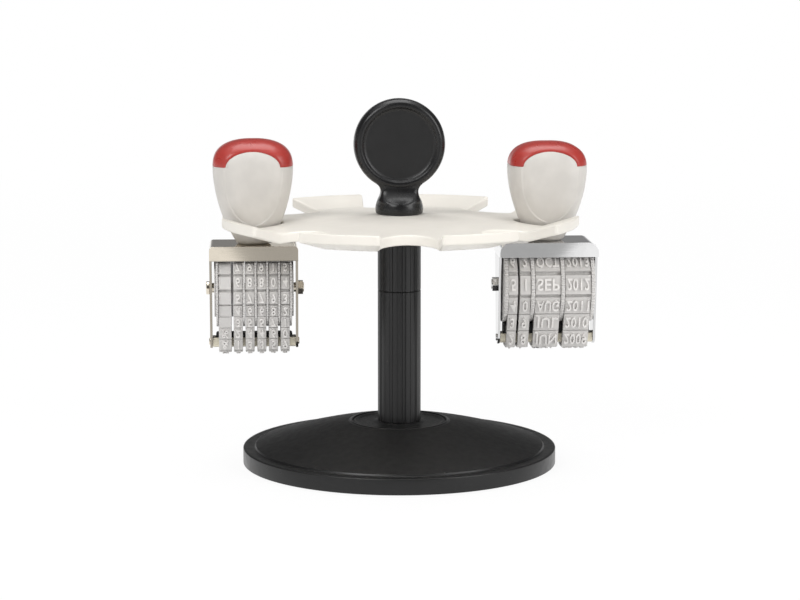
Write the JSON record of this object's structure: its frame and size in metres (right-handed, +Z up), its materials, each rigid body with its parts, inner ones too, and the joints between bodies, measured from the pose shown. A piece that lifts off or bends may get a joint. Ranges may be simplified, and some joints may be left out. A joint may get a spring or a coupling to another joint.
{
  "type": "desk stamp carousel",
  "caption": "Round weighted base with a fluted column, a slotted plate that turns on it, a flat round knob, and two hanging band stamps with turning type wheels.",
  "frame": {"origin": "on the desk, on the axis of the column", "axes": "+Z up along the column; the two stamps hang on -X and +X; -Y is the side that faces the user"},
  "size_m": [0.1612, 0.1456, 0.1512],
  "materials": {
    "base_black": "fine-grained matte moulding",
    "cover_black": "plain matte",
    "pad_rubber": "matte",
    "ballast_iron": "as cast",
    "column_black": "satin moulding",
    "journal_plastic": "turned nylon",
    "zinc_steel": "zinc plated",
    "knob_black": "glossy moulding",
    "plate_ivory": "satin ivory moulding",
    "handle_grey": "smooth satin",
    "cap_red": "semi-gloss",
    "frame_nickel": "nickel plated",
    "frame_chrome": "chrome plated",
    "fastener_nickel": "nickel plated",
    "wheel_grey": "satin moulding",
    "band_rubber": "matte moulded rubber",
    "bar_black": "matte",
    "platen_cream": "satin moulding"
  },
  "bodies": {
    "stand": {"base_shell": "base_black", "base_cover": "cover_black", "foot_pads": "pad_rubber", "ballast_ring": "ballast_iron", "column_foot": "column_black", "column": "column_black", "bearing_spigot": "journal_plastic", "clamp_nut": "zinc_steel", "tie_rod": "zinc_steel", "knob": "knob_black"},
    "carousel": {"carousel_plate": "plate_ivory", "carousel_hub": "column_black"},
    "number_stamp": {"number_handle": "handle_grey", "number_cap": "cap_red", "number_handle_screw": "zinc_steel", "number_frame": "frame_nickel", "number_axle": "fastener_nickel", "number_axle_nut": "fastener_nickel", "number_spacer_discs": "wheel_grey", "number_platen": "platen_cream", "number_platen_bar": "bar_black", "number_platen_pins": "fastener_nickel", "number_band_1": "band_rubber", "number_band_2": "band_rubber", "number_band_3": "band_rubber", "number_band_4": "band_rubber", "number_band_5": "band_rubber", "number_band_6": "band_rubber"},
    "date_stamp": {"date_handle": "handle_grey", "date_cap": "cap_red", "date_handle_screw": "zinc_steel", "date_frame": "frame_chrome", "date_axle": "fastener_nickel", "date_axle_nut": "fastener_nickel", "date_platen": "platen_cream", "date_platen_bar": "bar_black", "date_platen_pins": "fastener_nickel", "date_day_tens_band": "band_rubber", "date_day_units_band": "band_rubber", "date_month_band": "band_rubber", "date_year_band": "band_rubber"},
    "number_wheel_1": {"number_wheel_1": "wheel_grey"},
    "number_wheel_2": {"number_wheel_2": "wheel_grey"},
    "number_wheel_3": {"number_wheel_3": "wheel_grey"},
    "number_wheel_4": {"number_wheel_4": "wheel_grey"},
    "number_wheel_5": {"number_wheel_5": "wheel_grey"},
    "number_wheel_6": {"number_wheel_6": "wheel_grey"},
    "date_day_tens_wheel": {"date_day_tens_wheel": "wheel_grey"},
    "date_day_units_wheel": {"date_day_units_wheel": "wheel_grey"},
    "date_month_wheel": {"date_month_wheel": "wheel_grey"},
    "date_year_wheel": {"date_year_wheel": "wheel_grey"}
  },
  "joints": [
    {"name": "carousel_turn", "type": "hinge", "parent": "stand", "child": "carousel", "pos_m": [0, 0, 0.09], "axis": [0, 0, 1], "continuous": true},
    {"name": "number_stamp_draw", "type": "slide", "parent": "carousel", "child": "number_stamp", "axis": [-0.9877, 0, 0.1564], "range_m": [0, 0.045]},
    {"name": "date_stamp_draw", "type": "slide", "parent": "carousel", "child": "date_stamp", "axis": [0.9877, 0, 0.1564], "range_m": [0, 0.045]},
    {"name": "number_wheel_1_turn", "type": "hinge", "parent": "number_stamp", "child": "number_wheel_1", "pos_m": [-0.06, 0, 0.0736], "axis": [1, 0, 0], "continuous": true},
    {"name": "number_wheel_2_turn", "type": "hinge", "parent": "number_stamp", "child": "number_wheel_2", "pos_m": [-0.06, 0, 0.0736], "axis": [1, 0, 0], "continuous": true},
    {"name": "number_wheel_3_turn", "type": "hinge", "parent": "number_stamp", "child": "number_wheel_3", "pos_m": [-0.06, 0, 0.0736], "axis": [1, 0, 0], "continuous": true},
    {"name": "number_wheel_4_turn", "type": "hinge", "parent": "number_stamp", "child": "number_wheel_4", "pos_m": [-0.06, 0, 0.0736], "axis": [1, 0, 0], "continuous": true},
    {"name": "number_wheel_5_turn", "type": "hinge", "parent": "number_stamp", "child": "number_wheel_5", "pos_m": [-0.06, 0, 0.0736], "axis": [1, 0, 0], "continuous": true},
    {"name": "number_wheel_6_turn", "type": "hinge", "parent": "number_stamp", "child": "number_wheel_6", "pos_m": [-0.06, 0, 0.0736], "axis": [1, 0, 0], "continuous": true},
    {"name": "date_day_tens_wheel_turn", "type": "hinge", "parent": "date_stamp", "child": "date_day_tens_wheel", "pos_m": [0.0609, 0, 0.0741], "axis": [1, 0, 0], "continuous": true},
    {"name": "date_day_units_wheel_turn", "type": "hinge", "parent": "date_stamp", "child": "date_day_units_wheel", "pos_m": [0.0609, 0, 0.0741], "axis": [1, 0, 0], "continuous": true},
    {"name": "date_month_wheel_turn", "type": "hinge", "parent": "date_stamp", "child": "date_month_wheel", "pos_m": [0.0609, 0, 0.0741], "axis": [1, 0, 0], "continuous": true},
    {"name": "date_year_wheel_turn", "type": "hinge", "parent": "date_stamp", "child": "date_year_wheel", "pos_m": [0.0609, 0, 0.0741], "axis": [1, 0, 0], "continuous": true}
  ]
}
